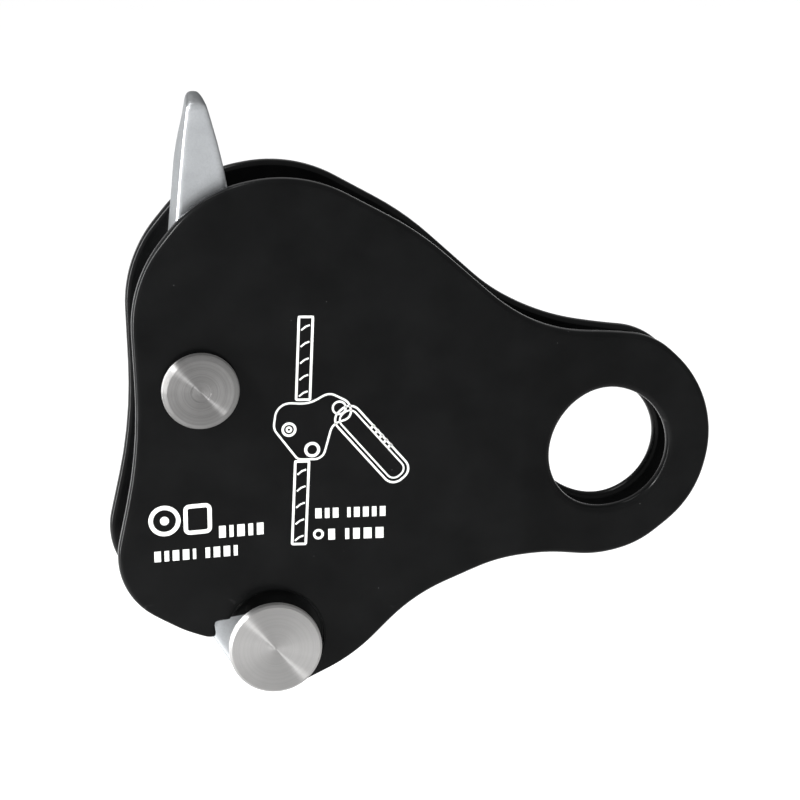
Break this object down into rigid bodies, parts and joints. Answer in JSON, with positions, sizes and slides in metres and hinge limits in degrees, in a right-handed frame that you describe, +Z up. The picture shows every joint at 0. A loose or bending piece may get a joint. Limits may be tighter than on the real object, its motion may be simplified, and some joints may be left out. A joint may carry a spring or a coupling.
{
  "type": "rope ascender",
  "caption": "Swing-cheek rope ascender: black joggled cheek plates on a pivot rivet, a cast rope shoe with a horn, a turned lock knob and a carabiner eye.",
  "frame": {"origin": "centre of the front cheek's carabiner eye, half way between the two cheek plates", "axes": "+Z up along the rope, +X from the pivot towards the eye, +Y from the knob side to the rear, along the pivot axis"},
  "size_m": [0.1225, 0.0316, 0.1216],
  "materials": {
    "black_anodised": "glossy black anodised aluminium with rounded edges",
    "turned_steel": "lathe-turned stainless steel with fine concentric lines",
    "cast_steel": "bead-blasted cast stainless steel",
    "spring_wire": "drawn stainless spring wire",
    "nylon": "natural nylon"
  },
  "bodies": {
    "frame": {"rear_plate": "black_anodised", "pivot_pin": "turned_steel", "pivot_sleeve": "turned_steel", "pivot_front_washer": "turned_steel", "pivot_rear_washer": "turned_steel", "thrust_washer_front": "nylon", "thrust_washer_rear": "nylon", "shoe_spring": "spring_wire", "lock_axle": "turned_steel", "anvil_sleeve": "turned_steel", "axle_rear_washer": "turned_steel"},
    "front_cheek": {"front_plate": "black_anodised"},
    "shoe": {"shoe": "cast_steel"},
    "knob_carrier": {"knob_friction_ring": "nylon"},
    "knob": {"lock_knob": "turned_steel"}
  },
  "joints": [
    {"name": "front_cheek_swing", "type": "hinge", "parent": "frame", "child": "front_cheek", "pos_m": [-0.0835, 0, 0.018], "axis": [0, 1, 0], "range_deg": [-120, 0.6]},
    {"name": "shoe_pivot", "type": "hinge", "parent": "frame", "child": "shoe", "pos_m": [-0.0835, 0, 0.018], "axis": [0, 1, 0], "range_deg": [0, 25], "stiffness_Nm_per_rad": 0.02, "springref_deg": -28.65, "deforming": ["shoe_spring"]},
    {"name": "knob_travel", "type": "slide", "parent": "frame", "child": "knob_carrier", "axis": [0, 1, 0], "range_m": [0, 0.00265]},
    {"name": "knob_turn", "type": "hinge", "parent": "knob_carrier", "child": "knob", "pos_m": [-0.0699, 0, -0.0353], "axis": [0, 1, 0], "range_deg": [0, 1170]}
  ],
  "couplings": [
    {"joint": "knob_travel", "follows": "knob_turn", "m_per_rad": 0.00012732}
  ]
}
